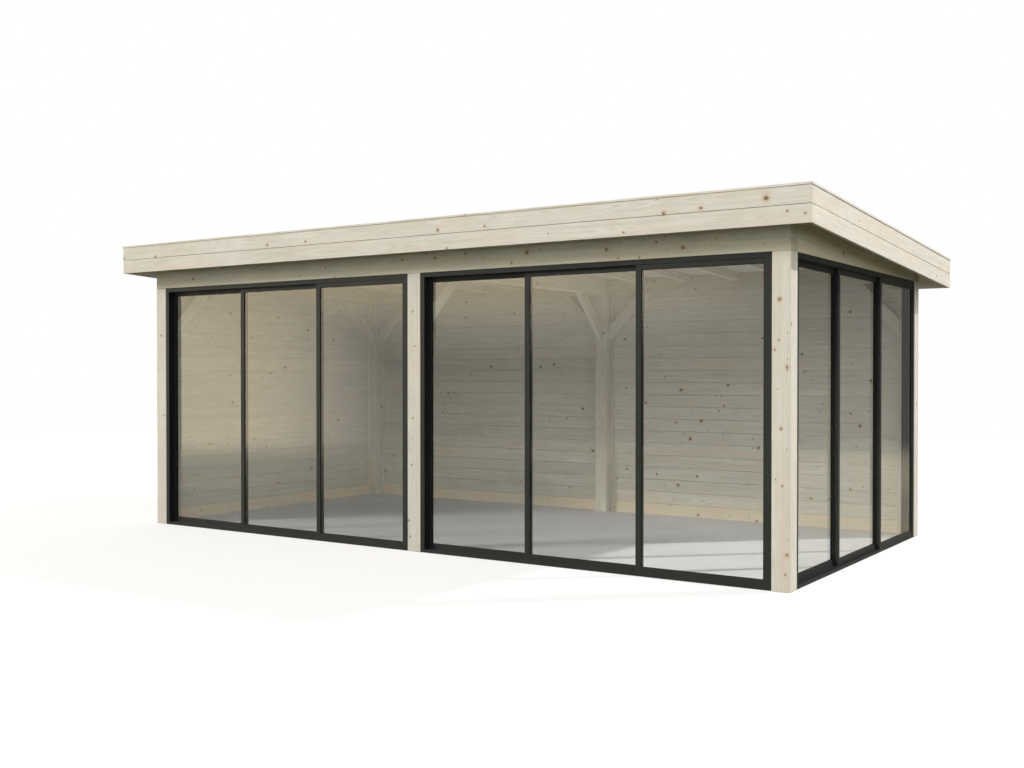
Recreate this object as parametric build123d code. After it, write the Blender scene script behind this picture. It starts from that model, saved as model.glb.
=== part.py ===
from build123d import *
import os
from math import radians, sqrt, tan

# Garden room on six posts: two glazed bays in front, one on the right-hand side,
# board walls at the rear and on the left, and a roof that falls to the rear.
# Millimetres. X runs right along the front, Y to the rear, Z up.
# The origin is on the ground at the middle of the plan.

# Plan
front_bay = 2740.0      # clear width between two posts of the front
side_bay = 2725.0       # clear depth between a front and a rear post
post_size = 120.0
overhang = 200.0        # from the post faces to the fascia face
joint_gap = 0.3         # hairline between pieces that bear on each other

# Heights
head_height = 2085.0    # underside of the beams, above the ground
rear_beam_depth = 133.5  # height of the beams at the rear post face
roof_slope = 3.0        # degrees, falling to the rear

# Roof
rafter_width = 45.0
rafter_depth = 70.0
rafter_pitch = 460.0
roof_board = 18.0
covering = 4.0
fascia_thickness = 20.0
fascia_drop = 167.0     # from the underside of the roof boards to the lower edge
fascia_lower = 113.0
fascia_groove = 3.0
fascia_upper = 108.0
cap_thickness = 15.0
cap_nosing = 5.0       # cap proud of the fascia face
cap_width = 45.0

# Knee braces at 45 degrees
brace_thickness = 45.0
brace_width = 95.0
brace_leg = 450.0       # along post and beam, to the lower edge

# Walls and floor
wall_thickness = 28.0
floor_thickness = 12.0

# Fixed frame of a sliding door set: three channels side by side
frame_recess = 5.0      # behind the outer post face
channel_width = 25.5
frame_leg = 3.0         # thickness of the flanges between the channels
frame_web = 8.0         # thickness behind the flanges
head_face = 34.0
jamb_face = 36.0
sill_face = 25.0
rib_height = 14.0       # running rib for the rollers
rib_width = 6.0

# Sliding panels
panel_count = 3
panel_thickness = 22.0
panel_overlap = 35.0    # between neighbours in their closed places
panel_play = 6.0        # to the jamb web at each end
panel_lift = 5.0        # rail above the running rib
panel_headroom = 8.0    # under the head web
stile_width = 42.0
rail_height = 42.0
top_rail_height = 52.0
glass_thickness = 8.0
glass_edge = 10.0       # depth of glass held in the profile
roller_radius = 12.0
roller_width = 9.0
roller_inset = 60.0     # from the stile to the roller's axis

# Worked out
half_width = front_bay + 1.5 * post_size
half_depth = side_bay / 2 + post_size
fall = tan(radians(roof_slope))
inner_depth = half_depth - post_size
inner_width = half_width - post_size
eave_x = half_width + overhang
eave_y = half_depth + overhang
fascia_top = fascia_lower + fascia_groove + fascia_upper - fascia_drop
track_pitch = channel_width + frame_leg
frame_depth = panel_count * track_pitch + frame_leg
panel_foot = rib_height + panel_lift
panel_head = head_height - joint_gap - frame_web - panel_headroom


def block(x, y, z):
    size = (x[1] - x[0], y[1] - y[0], z[1] - z[0])
    return Pos(x[0], y[0], z[0]) * Box(*size, align=(Align.MIN, Align.MIN, Align.MIN))


def around(centre, width):
    return (centre - width / 2, centre + width / 2)


def roof_at(y, offset=0.0):
    # Height of the underside of the roof boards, with an offset above it
    return head_height + rear_beam_depth + (half_depth - y) * fall + offset


def across(points, x):
    # Outline in Y and Z, drawn out along X
    face = make_face(Plane.YZ * Polyline(*points, close=True))
    return Pos(x[0], 0, 0) * extrude(face, x[1] - x[0], dir=(1, 0, 0))


def along(points, y):
    # Outline in X and Z, drawn out along Y
    face = make_face(Plane.XZ * Polyline(*points, close=True))
    return Pos(0, y[0], 0) * extrude(face, y[1] - y[0], dir=(0, 1, 0))


def roof_layer(x, y, low, high):
    # Layer parallel to the roof, between two offsets from the board underside
    corners = [(y[0], roof_at(y[0], low)), (y[1], roof_at(y[1], low))]
    corners += [(y[1], roof_at(y[1], high)), (y[0], roof_at(y[0], high))]
    return across(corners, x)


def beam(x, y):
    # Level underside, top bevelled to the slope of the roof boards
    corners = [(y[0], head_height), (y[1], head_height)]
    corners += [(y[1], roof_at(y[1], -joint_gap)), (y[0], roof_at(y[0], -joint_gap))]
    return across(corners, x)


def edge_strip(side, face, width, low, high):
    # One side of a ring round the roof, with mitred ends. face is how far its
    # outer face stands beyond the fascia line.
    outer_x, outer_y = eave_x + face, eave_y + face
    inner_x, inner_y = outer_x - width, outer_y - width
    mitre = joint_gap / sqrt(2)
    rear_outer, rear_inner = outer_x - mitre, inner_x - mitre
    side_outer, side_inner = outer_y - mitre, inner_y - mitre
    rear = [(-rear_outer, outer_y), (rear_outer, outer_y), (rear_inner, inner_y), (-rear_inner, inner_y)]
    right = [(outer_x, -side_outer), (outer_x, side_outer), (inner_x, side_inner), (inner_x, -side_inner)]
    outline = {
        "rear": rear,
        "right": right,
        "front": [(x, -y) for x, y in rear],
        "left": [(-x, y) for x, y in right],
    }[side]
    plan = make_face(Polyline(*outline, close=True))
    layer = roof_layer((-outer_x, outer_x), (-outer_y, outer_y), low, high)
    return layer & extrude(plan, 2 * roof_at(-outer_y), dir=(0, 0, 1))


def fascia(side):
    lower_top = fascia_lower - fascia_drop
    upper_low = lower_top + fascia_groove
    lower = edge_strip(side, 0, fascia_thickness, -fascia_drop, lower_top)
    upper = edge_strip(side, 0, fascia_thickness, upper_low, fascia_top)
    return Compound([lower.solid(), upper.solid()])


def brace_outline(leg):
    # Distance from the post, and below the beam, of each corner
    near, far = joint_gap, leg - joint_gap
    inner = leg - brace_width * sqrt(2) - joint_gap
    return [(near, far), (far, near), (inner, near), (near, inner)]


def brace_on_x(post_face, direction, y):
    points = [(post_face + direction * out, head_height - down) for out, down in brace_outline(brace_leg)]
    return along(points, around(y, brace_thickness))


def brace_on_y(post_face, direction, x):
    points = [(post_face + direction * out, head_height - down) for out, down in brace_outline(brace_leg)]
    return across(points, around(x, brace_thickness))


def channel(track):
    # Clear space of one track, from the outer face of the frame inwards
    start = frame_recess + frame_leg + track * track_pitch
    return (start, start + channel_width)


def door_frame(width):
    # Local frame: X from post to post, Y from the outer post face inwards
    outer = (frame_recess, frame_recess + frame_depth)
    top = head_height - joint_gap
    left, right = joint_gap, width - joint_gap
    between = (left + jamb_face + joint_gap, right - jamb_face - joint_gap)
    head = block(between, outer, (top - head_face, top))
    sill = block(between, outer, (0, sill_face))
    jambs = [
        block((left, left + jamb_face), outer, (0, top)),
        block((right - jamb_face, right), outer, (0, top)),
    ]
    for track in range(panel_count):
        slot = channel(track)
        rib = around(sum(slot) / 2, rib_width)
        head -= block(between, slot, (top - head_face, top - frame_web))
        sill -= block(between, slot, (frame_web, sill_face))
        sill += block(between, rib, (frame_web, rib_height))
        jambs[0] -= block((left + frame_web, left + jamb_face), slot, (0, top))
        jambs[1] -= block((right - jamb_face, right - frame_web), slot, (0, top))
    return Compound([piece.solid() for piece in (head, sill, *jambs)])


def panel_width(width):
    ends = 2 * (joint_gap + frame_web + panel_play)
    return (width - ends + (panel_count - 1) * panel_overlap) / panel_count


def panel_place(width, number):
    # Left edge of a closed panel, and the middle of its track. The first panel
    # runs in the innermost track.
    left = joint_gap + frame_web + panel_play
    edge = left + number * (panel_width(width) - panel_overlap)
    return edge, sum(channel(panel_count - 1 - number)) / 2


def panel_frame(width):
    # Local frame: X from the left edge, Y from the middle of the track
    wide = panel_width(width)
    depth = around(0, panel_thickness)
    slot = around(0, glass_thickness + 2 * joint_gap)
    bite = glass_edge + joint_gap
    between = (stile_width + joint_gap, wide - stile_width - joint_gap)
    rail_top = panel_foot + rail_height
    head_low = panel_head - top_rail_height
    left = block((0, stile_width), depth, (panel_foot, panel_head))
    left -= block((stile_width - bite, stile_width), slot, (panel_foot, panel_head))
    right = block((wide - stile_width, wide), depth, (panel_foot, panel_head))
    right -= block((wide - stile_width, wide - stile_width + bite), slot, (panel_foot, panel_head))
    top = block(between, depth, (head_low, panel_head))
    top -= block(between, slot, (head_low, head_low + bite))
    bottom = block(between, depth, (panel_foot, rail_top))
    for x in (stile_width + roller_inset, wide - stile_width - roller_inset):
        axle = Pos(x, 0, rib_height + joint_gap + roller_radius)
        bottom += axle * Rot(90, 0, 0) * Cylinder(roller_radius, roller_width)
    bottom -= block(between, slot, (rail_top - bite, rail_top))
    return Compound([piece.solid() for piece in (left, right, top, bottom)])


def panel_glass(width):
    side = stile_width - glass_edge
    low = panel_foot + rail_height - glass_edge
    high = panel_head - top_rail_height + glass_edge
    return block((side, panel_width(width) - side), around(0, glass_thickness), (low, high))


def save(name, shape):
    export_step(shape, "parts/" + name + ".step")


def make_posts():
    top = head_height - joint_gap
    columns = {"left": -half_width, "middle": -post_size / 2, "right": inner_width}
    rows = {"front": -half_depth, "rear": inner_depth}
    for row, y in rows.items():
        for column, x in columns.items():
            post = block((x, x + post_size), (y, y + post_size), (0, top))
            save(row + "_" + column + "_post", post)


def rafter_lines():
    # Rafters between the beams, and one behind each side fascia
    count = int((inner_width - rafter_width) / rafter_pitch)
    inside = [side * rafter_pitch * step for step in range(1, count + 1) for side in (-1, 1)]
    barge = eave_x - fascia_thickness - joint_gap - rafter_width / 2
    return inside + [-barge, barge]


def make_roof_frame():
    reach = eave_y - fascia_thickness - joint_gap
    rafters = []
    notches = []
    for x in rafter_lines():
        rafters.append(roof_layer(around(x, rafter_width), (-reach, reach), -rafter_depth, -joint_gap))
        notch = around(x, rafter_width + 2 * joint_gap)
        notches.append(roof_layer(notch, (-reach, reach), -rafter_depth - joint_gap, joint_gap))
    save("rafters", Compound([rafter.solid() for rafter in rafters]))
    front = beam((-half_width, half_width), (-half_depth, -inner_depth))
    rear = beam((-half_width, half_width), (inner_depth, half_depth))
    for notch in notches:
        front -= notch
        rear -= notch
    save("front_beam", front)
    save("rear_beam", rear)
    run = (joint_gap - inner_depth, inner_depth - joint_gap)
    save("left_beam", beam((-half_width, -inner_width), run))
    save("middle_beam", beam(around(0, post_size), run))
    save("right_beam", beam((inner_width, half_width), run))


def make_braces():
    row = half_depth - post_size / 2
    column = post_size / 2 - half_width
    braces = [
        brace_on_x(-inner_width, 1, row),
        brace_on_x(-post_size / 2, -1, row),
        brace_on_x(post_size / 2, 1, row),
        brace_on_x(inner_width, -1, row),
    ]
    for x in (column, 0):
        braces += [brace_on_y(-inner_depth, 1, x), brace_on_y(inner_depth, -1, x)]
    save("knee_braces", Compound([brace.solid() for brace in braces]))


def make_roof():
    edge = fascia_thickness + joint_gap
    x = (edge - eave_x, eave_x - edge)
    y = (edge - eave_y, eave_y - edge)
    covering_low = roof_board + joint_gap
    save("roof_boards", roof_layer(x, y, 0, roof_board))
    save("roof_covering", roof_layer(x, y, covering_low, covering_low + covering))
    sides = ("front", "rear", "left", "right")
    for side in sides:
        save(side + "_fascia", fascia(side))
    cap_low = fascia_top + joint_gap
    cap = [edge_strip(side, cap_nosing, cap_width, cap_low, cap_low + cap_thickness) for side in sides]
    save("roof_cap", Compound([strip.solid() for strip in cap]))


def make_walls():
    height = (0, head_height - joint_gap)
    rear = (half_depth - wall_thickness, half_depth)
    near, far = post_size / 2 + joint_gap, inner_width - joint_gap
    save("rear_left_wall", block((-far, -near), rear, height))
    save("rear_right_wall", block((near, far), rear, height))
    side = (joint_gap - inner_depth, inner_depth - joint_gap)
    save("left_wall", block((-half_width, wall_thickness - half_width), side, height))


def make_floor():
    wall = wall_thickness + joint_gap
    door = frame_recess + frame_depth + joint_gap
    floor = block(
        (wall - half_width, half_width - door),
        (door - half_depth, half_depth - wall),
        (0, floor_thickness),
    )
    hole = post_size + 2 * joint_gap
    for x in (post_size / 2 - half_width, 0, half_width - post_size / 2):
        for y in (post_size / 2 - half_depth, half_depth - post_size / 2):
            floor -= block(around(x, hole), around(y, hole), (0, floor_thickness))
    save("floor", floor)


def make_doors():
    front = -half_depth
    sets = {
        "left_door": (front_bay, Pos(-inner_width, front, 0)),
        "right_door": (front_bay, Pos(post_size / 2, front, 0)),
        "side_door": (side_bay, Pos(half_width, -inner_depth, 0) * Rot(0, 0, 90)),
    }
    for name, (width, place) in sets.items():
        save(name + "_frame", place * door_frame(width))
        for number in range(panel_count):
            edge, track = panel_place(width, number)
            here = place * Pos(edge, track, 0)
            save(name + "_panel_" + str(number + 1), here * panel_frame(width))
            save(name + "_glass_" + str(number + 1), here * panel_glass(width))


os.makedirs("parts", exist_ok=True)
make_posts()
make_roof_frame()
make_braces()
make_roof()
make_walls()
make_floor()
make_doors()
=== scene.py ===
import bpy
import bmesh
import math
import random
from mathutils import Matrix, Vector


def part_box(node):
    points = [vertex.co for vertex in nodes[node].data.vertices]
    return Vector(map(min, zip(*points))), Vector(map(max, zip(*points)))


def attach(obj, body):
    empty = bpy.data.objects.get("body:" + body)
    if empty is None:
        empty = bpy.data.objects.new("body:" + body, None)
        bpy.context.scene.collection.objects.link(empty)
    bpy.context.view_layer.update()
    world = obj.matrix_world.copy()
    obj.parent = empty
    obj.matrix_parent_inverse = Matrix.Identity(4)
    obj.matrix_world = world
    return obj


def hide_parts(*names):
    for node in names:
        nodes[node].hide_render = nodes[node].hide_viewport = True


# Garden room: planed spruce, sliding aluminium doors, board walls. All in metres.

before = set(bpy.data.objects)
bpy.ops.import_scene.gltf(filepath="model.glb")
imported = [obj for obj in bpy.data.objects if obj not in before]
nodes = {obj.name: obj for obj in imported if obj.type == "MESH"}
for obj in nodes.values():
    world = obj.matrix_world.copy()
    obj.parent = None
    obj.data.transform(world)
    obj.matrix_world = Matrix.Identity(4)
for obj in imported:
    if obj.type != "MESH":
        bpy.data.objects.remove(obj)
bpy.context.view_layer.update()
print("frame loaded,", len(nodes), "nodes")

mm = 0.001
smooth = {"interpolation_type": "SMOOTHSTEP"}
colourMix = {"data_type": "RGBA"}                # input 0 is the share, 6 and 7 are the colours
noiseRange = {"From Min": 0.3, "From Max": 0.7}  # most of a noise texture lies between these


def linear(code):
    # sRGB hex to linear RGBA
    parts = [int(code[i:i + 2], 16) / 255 for i in (1, 3, 5)]
    return [p / 12.92 if p <= 0.04045 else ((p + 0.055) / 1.055) ** 2.4 for p in parts] + [1.0]


def addNode(tree, kind, settings=None, links=None):
    # One node, its settings, and its inputs: a value, a socket, or a node, which gives its first live output
    node = tree.nodes.new(kind)
    for name, value in (settings or {}).items():
        setattr(node, name, value)
    for name, value in (links or {}).items():
        if isinstance(value, bpy.types.Node):
            value = next(socket for socket in value.outputs if socket.enabled)
        if isinstance(value, bpy.types.NodeSocket):
            tree.links.new(value, node.inputs[name])
        else:
            node.inputs[name].default_value = value
    return node


def newMaterial(name):
    material = bpy.data.materials.new(name)
    material.use_nodes = True
    material.node_tree.nodes.clear()
    return material, material.node_tree


def paint(obj, material):
    obj.data.materials.clear()
    obj.data.materials.append(material)


# Spruce, planed and untreated: pale cream with straight fine rings that open into
# long arches, small brown knots in a tan halo, dry and almost without sheen.
spruce = {
    "early": "#E8E7E0",         # wide pale wood between the rings
    "late": "#CFC8BA",          # narrow darker ring wood
    "blush": "#E4D8CB",         # heartwood in long streaks
    "warmBoard": "#EAD9C2",     # the warmer colour of the lowest wall board
    "ringPitch": 7.0 * mm,      # real rings are 2 to 3 mm apart, too fine to show
    "ringEdge": {"From Min": -0.1, "From Max": 0.98, "To Max": 0.42},
    "sway": 45.0 * mm,          # how far the rings wander sideways along a board
    "pithBeside": {"To Min": -90.0 * mm, "To Max": 50.0 * mm},  # the tree's middle, from the board's
    "pithUnder": {"From Min": 0.25, "From Max": 0.75, "To Min": 2.0 * mm, "To Max": 60.0 * mm},
    # Waves per metre along the board and across its rings, and how far each board moves
    # them on. Real bundles of fibres are narrower too.
    "streak": (1 / (700.0 * mm), 1 / (14.0 * mm), 1.0),
    "streakDetail": {"Detail": 4.0, "Roughness": 0.6},
    "streaks": {"From Min": 0.42, "From Max": 0.72, "To Max": 0.65},
    "fibre": (1 / (180.0 * mm), 1 / (3.5 * mm), 5.0),
    "fibreDetail": {"Detail": 2.0},
    "fibreTone": {"To Min": 0.955, "To Max": 1.045},
    "cloudTone": {"To Min": 0.965, "To Max": 1.035},
    "blushes": {"From Min": 0.48, "From Max": 0.72, "To Max": 0.75},
    "blushOfBoard": 0.07,       # how much it differs from board to board
    "boardTone": {"From Min": -1.0, "From Max": 2.0, "To Min": 0.93, "To Max": 1.07},
    "lowestBoard": {"From Min": 1.0, "From Max": 2.0, "To Max": 0.5},
    "endTone": 0.86,            # end grain is darker
    "relief": {"Strength": 0.35, "Distance": 0.25 * mm},
    "roughness": {"To Min": 0.57, "To Max": 0.7},
    "sheen": 0.1,
}

# Noise laid along the grain: waves per metre along it and across it, how far each
# board moves it on, and its detail
grainNoise = {
    "sway": ((1.1, 0.0, 1.0), 2.0),     # 900 mm long
    "under": ((0.8, 0.0, 1.7), 1.0),    # 1250 mm long
    "blush": ((1.3, 14.0, 1.0), 2.0),   # 770 by 70 mm
    "cloud": ((6.0, 22.0, 3.0), 3.0),   # 170 by 45 mm
}

# A knot has a dark heart in a brown ring and a tan halo, and bends the rings of the
# wood. Each zone fades out between two distances from its middle, in its own radii.
knot = {
    "ring": "#7C6450",
    "heart": "#43372C",
    "halo": "#C9AE8C",
    "shift": (7.31, 3.17, 0),   # moves the knots on from board to board
    "scatter": 0.9,             # how far a knot strays from its place in the row
    "squeeze": 0.75,            # under 1, it is longer along the board than across
    "smallest": 0.3,            # radius, as a share of the largest
    "notches": {"Scale": 1 / (11 * mm), "Detail": 2.0},  # the bays in its ragged rim
    "rim": {"To Min": 0.85, "To Max": 1.15},
    "coreZone": {"From Min": 0.55, "From Max": 1.15},
    "heartZone": {"From Min": 0.25, "From Max": 0.95, "To Min": 1.0},
    "haloZone": {"From Min": 0.9, "From Max": 2.6, "To Min": 0.5},
    "bendZone": {"From Min": 0.5, "From Max": 5.0, "To Min": 6 * mm},
}

# Knots: spacing along and across, share of the places that hold one, largest radius.
# Depth is how dark they are. The shade tint is painted shade over the whole wood, and white where there is none.
# Marks are single knots that matter to the look: x, y, z and radius.
postWood = {
    "name": "planed spruce posts",
    "shadeTint": "#FFFFFF",
    "depth": 0.6,
    "knots": [(0.40, 0.12, 0.35, 9 * mm), (0.18, 0.06, 0.25, 4 * mm)],
    "marks": [(2.85, -1.4825, 1.79, 12 * mm), (2.845, -1.4825, 1.54, 6 * mm), (2.90, -1.4825, 1.36, 6 * mm),
              (2.86, -1.4825, 1.00, 9 * mm), (2.87, -1.4825, 0.65, 7 * mm), (2.90, -1.4825, 0.23, 10 * mm),
              (2.89, -1.4825, 0.11, 7 * mm), (-0.01, -1.4825, 1.80, 8 * mm), (0.01, -1.4825, 1.54, 6 * mm),
              (-0.01, -1.4825, 1.00, 8 * mm), (-0.02, -1.4825, 0.65, 7 * mm), (-0.05, -1.4825, 0.23, 9 * mm),
              (-0.035, -1.4825, 0.11, 8 * mm)],
}
beamWood = {
    "name": "planed spruce beams",
    # Painted shade: a yellow-green tint over all the beam wood, for the dull bounced light under the eaves
    "shadeTint": "#F6F5E8",
    "depth": 0.7,
    "knots": [(0.42, 0.12, 0.5, 12 * mm), (0.16, 0.06, 0.4, 4 * mm)],
    "marks": [(-0.89, -1.4825, 2.175, 8 * mm), (-0.11, -1.4825, 2.19, 9 * mm), (0.20, -1.4825, 2.185, 10 * mm),
              (0.63, -1.4825, 2.165, 6 * mm), (0.88, -1.4825, 2.115, 8 * mm), (1.01, -1.4825, 2.18, 15 * mm),
              (1.645, -1.4825, 2.165, 12 * mm), (1.89, -1.4825, 2.10, 7 * mm), (2.015, -1.4825, 2.19, 8 * mm)],
}
fasciaWood = {
    "name": "planed spruce fascia boards",
    "shadeTint": "#FFFFFF",
    "depth": 0.75,
    "knots": [(0.8, 0.12, 0.4, 9 * mm), (0.35, 0.06, 0.2, 3 * mm)],
    "marks": [(2.84, -1.6825, 2.382, 17 * mm), (2.165, -1.6825, 2.342, 12 * mm), (2.97, -1.6825, 2.295, 7 * mm),
              (3.08, -1.6825, 2.275, 7 * mm), (-2.69, -1.6825, 2.34, 11 * mm), (-1.33, -1.6825, 2.36, 10 * mm),
              (-0.915, -1.6825, 2.36, 9 * mm), (0.38, -1.6825, 2.36, 11 * mm), (0.79, -1.6825, 2.36, 8 * mm)],
}
boardWood = {
    "name": "tongue-and-groove spruce boards",
    "shadeTint": "#FFFFFF",
    "depth": 0.85,
    "knots": [(0.6, 0.115, 0.4, 12 * mm), (0.2, 0.06, 0.3, 5 * mm)],
    "marks": [(1.00, 1.4545, 0.90, 12 * mm), (1.55, 1.4545, 0.67, 12 * mm), (0.77, 1.4545, 0.30, 13 * mm),
              (0.75, 1.4545, 0.88, 8 * mm), (-0.43, 1.4545, 0.89, 8 * mm), (0.80, 1.4545, 1.18, 13 * mm),
              (0.89, 1.4545, 0.73, 12 * mm), (0.55, 1.4545, 0.39, 9 * mm), (0.96, 1.4545, 0.39, 11 * mm),
              (-0.25, 1.4545, 0.99, 12 * mm), (-0.58, 1.4545, 1.42, 11 * mm), (2.45, 1.4545, 0.89, 12 * mm),
              (2.37, 1.4545, 0.35, 11 * mm)],
}


def makeSpruce(look):
    material, tree = newMaterial(look["name"])
    # Every wood colour is multiplied by the shade tint, which paints shade where it is not white
    early, late, blush, warmBoard = (
        [a * b for a, b in zip(linear(spruce[part]), linear(look["shadeTint"]))]
        for part in ("early", "late", "blush", "warmBoard"))
    grain = addNode(tree, "ShaderNodeAttribute", {"attribute_name": "grain"}).outputs["Vector"]
    tone = addNode(tree, "ShaderNodeAttribute", {"attribute_name": "boardTone"}).outputs["Fac"]
    endGrain = addNode(tree, "ShaderNodeAttribute", {"attribute_name": "endGrain"}).outputs["Fac"]
    along, across, seed = addNode(tree, "ShaderNodeSeparateXYZ", links={0: grain}).outputs
    chance = addNode(tree, "ShaderNodeTexWhiteNoise", {"noise_dimensions": "1D"}, {"W": seed}).outputs["Color"]
    chance = addNode(tree, "ShaderNodeSeparateColor", links={0: chance}).outputs

    # Knots: distance to the nearest one, in its own radii
    edge = None
    for step, width, share, radius in look["knots"]:
        offset = addNode(tree, "ShaderNodeVectorMath", {"operation": "SCALE"},
                         {0: knot["shift"], "Scale": seed})
        cell = addNode(tree, "ShaderNodeVectorMath", {"operation": "MULTIPLY_ADD"},
                       {0: grain, 1: (1 / step, 1 / width, 0), 2: offset})
        spots = addNode(tree, "ShaderNodeTexVoronoi", {"voronoi_dimensions": "2D"},
                        {"Vector": cell, "Scale": 1.0, "Randomness": knot["scatter"]})
        away = addNode(tree, "ShaderNodeVectorMath", {"operation": "SUBTRACT"},
                       {0: spots.outputs["Position"], 1: cell})
        away = addNode(tree, "ShaderNodeVectorMath", {"operation": "MULTIPLY"},
                       {0: away, 1: (step * knot["squeeze"], width, 0)})
        distance = addNode(tree, "ShaderNodeVectorMath", {"operation": "LENGTH"}, {0: away}).outputs["Value"]
        traits = addNode(tree, "ShaderNodeSeparateColor", links={0: spots.outputs["Color"]}).outputs
        size = addNode(tree, "ShaderNodeMapRange", links={
            "Value": traits[1], "To Min": knot["smallest"] * radius, "To Max": radius})
        present = addNode(tree, "ShaderNodeMath", {"operation": "GREATER_THAN"}, {0: traits[0], 1: 1 - share})
        size = addNode(tree, "ShaderNodeMath", {"operation": "MULTIPLY"}, {0: size, 1: present})
        size = addNode(tree, "ShaderNodeMath", {"operation": "MAXIMUM"}, {0: size, 1: 0.01 * mm})
        near = addNode(tree, "ShaderNodeMath", {"operation": "DIVIDE"}, {0: distance, 1: size})
        if edge is not None:
            near = addNode(tree, "ShaderNodeMath", {"operation": "MINIMUM"}, {0: edge, 1: near})
        edge = near
    place = addNode(tree, "ShaderNodeTexCoord").outputs["Object"]
    for x, y, z, radius in look["marks"]:
        distance = addNode(tree, "ShaderNodeVectorMath", {"operation": "DISTANCE"}, {0: place, 1: (x, y, z)})
        near = addNode(tree, "ShaderNodeMath", {"operation": "DIVIDE"},
                       {0: distance.outputs["Value"], 1: radius})
        edge = addNode(tree, "ShaderNodeMath", {"operation": "MINIMUM"}, {0: edge, 1: near})
    ragged = addNode(tree, "ShaderNodeTexNoise", links={"Vector": grain, **knot["notches"]})
    ragged = addNode(tree, "ShaderNodeMapRange", links={"Value": ragged, **noiseRange, **knot["rim"]})
    edge = addNode(tree, "ShaderNodeMath", {"operation": "MULTIPLY"}, {0: edge, 1: ragged})
    coreZone = {**knot["coreZone"], "To Min": look["depth"]}
    core, heart, halo, bend = (
        addNode(tree, "ShaderNodeMapRange", smooth, {"Value": edge, **zone, "To Max": 0.0})
        for zone in (coreZone, knot["heartZone"], knot["haloZone"], knot["bendZone"]))

    # Rings round a pith that lies beside or under the board and wanders along it
    noise = {}
    for part, (waves, detail) in grainNoise.items():
        path = addNode(tree, "ShaderNodeVectorMath", {"operation": "MULTIPLY"}, {0: grain, 1: waves})
        noise[part] = addNode(tree, "ShaderNodeTexNoise", links={
            "Vector": path, "Scale": 1.0, "Detail": detail})
    sway = addNode(tree, "ShaderNodeMath", {"operation": "MULTIPLY_ADD"},
                   {0: noise["sway"], 1: spruce["sway"], 2: across})
    pith = addNode(tree, "ShaderNodeMapRange", links={"Value": chance[0], **spruce["pithBeside"]})
    sideways = addNode(tree, "ShaderNodeMath", {"operation": "ADD"}, {0: sway, 1: pith})
    deep = addNode(tree, "ShaderNodeMapRange", links={"Value": noise["under"], **spruce["pithUnder"]})
    deep = addNode(tree, "ShaderNodeMix", {"data_type": "FLOAT"}, {0: endGrain, 2: deep, 3: along})
    arch = addNode(tree, "ShaderNodeCombineXYZ", links={0: sideways, 1: deep})
    ring = addNode(tree, "ShaderNodeVectorMath", {"operation": "LENGTH"}, {0: arch}).outputs["Value"]
    ring = addNode(tree, "ShaderNodeMath", {"operation": "ADD"}, {0: ring, 1: bend})
    wave = addNode(tree, "ShaderNodeMath", {"operation": "MULTIPLY"}, {
        0: ring, 1: 2 * math.pi / spruce["ringPitch"]})
    wave = addNode(tree, "ShaderNodeMath", {"operation": "SINE"}, {0: wave})
    lateWood = addNode(tree, "ShaderNodeMapRange", smooth, {"Value": wave, **spruce["ringEdge"]})

    # Fibres and streaks follow the rings
    bundle = addNode(tree, "ShaderNodeCombineXYZ", links={0: along, 1: ring, 2: seed})
    streak = addNode(tree, "ShaderNodeVectorMath", {"operation": "MULTIPLY"}, {0: bundle, 1: spruce["streak"]})
    streak = addNode(tree, "ShaderNodeTexNoise", links={
        "Vector": streak, "Scale": 1.0, **spruce["streakDetail"]})
    fibre = addNode(tree, "ShaderNodeVectorMath", {"operation": "MULTIPLY"}, {0: bundle, 1: spruce["fibre"]})
    fibre = addNode(tree, "ShaderNodeTexNoise", links={
        "Vector": fibre, "Scale": 1.0, **spruce["fibreDetail"]})

    amount = addNode(tree, "ShaderNodeMapRange", links={"Value": streak, **spruce["streaks"]})
    colour = addNode(tree, "ShaderNodeMix", colourMix, {0: amount, 6: early, 7: late})
    colour = addNode(tree, "ShaderNodeMix", colourMix, {0: lateWood, 6: colour, 7: late})
    warm = addNode(tree, "ShaderNodeMath", {"operation": "MULTIPLY_ADD"},
                   {0: tone, 1: spruce["blushOfBoard"], 2: noise["blush"]})
    amount = addNode(tree, "ShaderNodeMapRange", links={"Value": warm, **spruce["blushes"]})
    colour = addNode(tree, "ShaderNodeMix", colourMix, {0: amount, 6: colour, 7: blush})
    amount = addNode(tree, "ShaderNodeMapRange", links={"Value": tone, **spruce["lowestBoard"]})
    colour = addNode(tree, "ShaderNodeMix", colourMix, {0: amount, 6: colour, 7: warmBoard})
    bright = addNode(tree, "ShaderNodeMapRange", links={"Value": tone, **spruce["boardTone"]})
    for part, tones in ((fibre, spruce["fibreTone"]), (noise["cloud"], spruce["cloudTone"])):
        shade = addNode(tree, "ShaderNodeMapRange", links={"Value": part, **noiseRange, **tones})
        bright = addNode(tree, "ShaderNodeMath", {"operation": "MULTIPLY"}, {0: bright, 1: shade})
    shade = addNode(tree, "ShaderNodeMapRange", links={
        "Value": endGrain, "To Min": 1.0, "To Max": spruce["endTone"]})
    bright = addNode(tree, "ShaderNodeMath", {"operation": "MULTIPLY"}, {0: bright, 1: shade})
    colour = addNode(tree, "ShaderNodeVectorMath", {"operation": "SCALE"}, {0: colour, "Scale": bright})
    colour = addNode(tree, "ShaderNodeMix", colourMix, {0: halo, 6: colour, 7: linear(knot["halo"])})
    middle = addNode(tree, "ShaderNodeMix", colourMix, {
        0: heart, 6: linear(knot["ring"]), 7: linear(knot["heart"])})
    colour = addNode(tree, "ShaderNodeMix", colourMix, {0: core, 6: colour, 7: middle})

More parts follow.
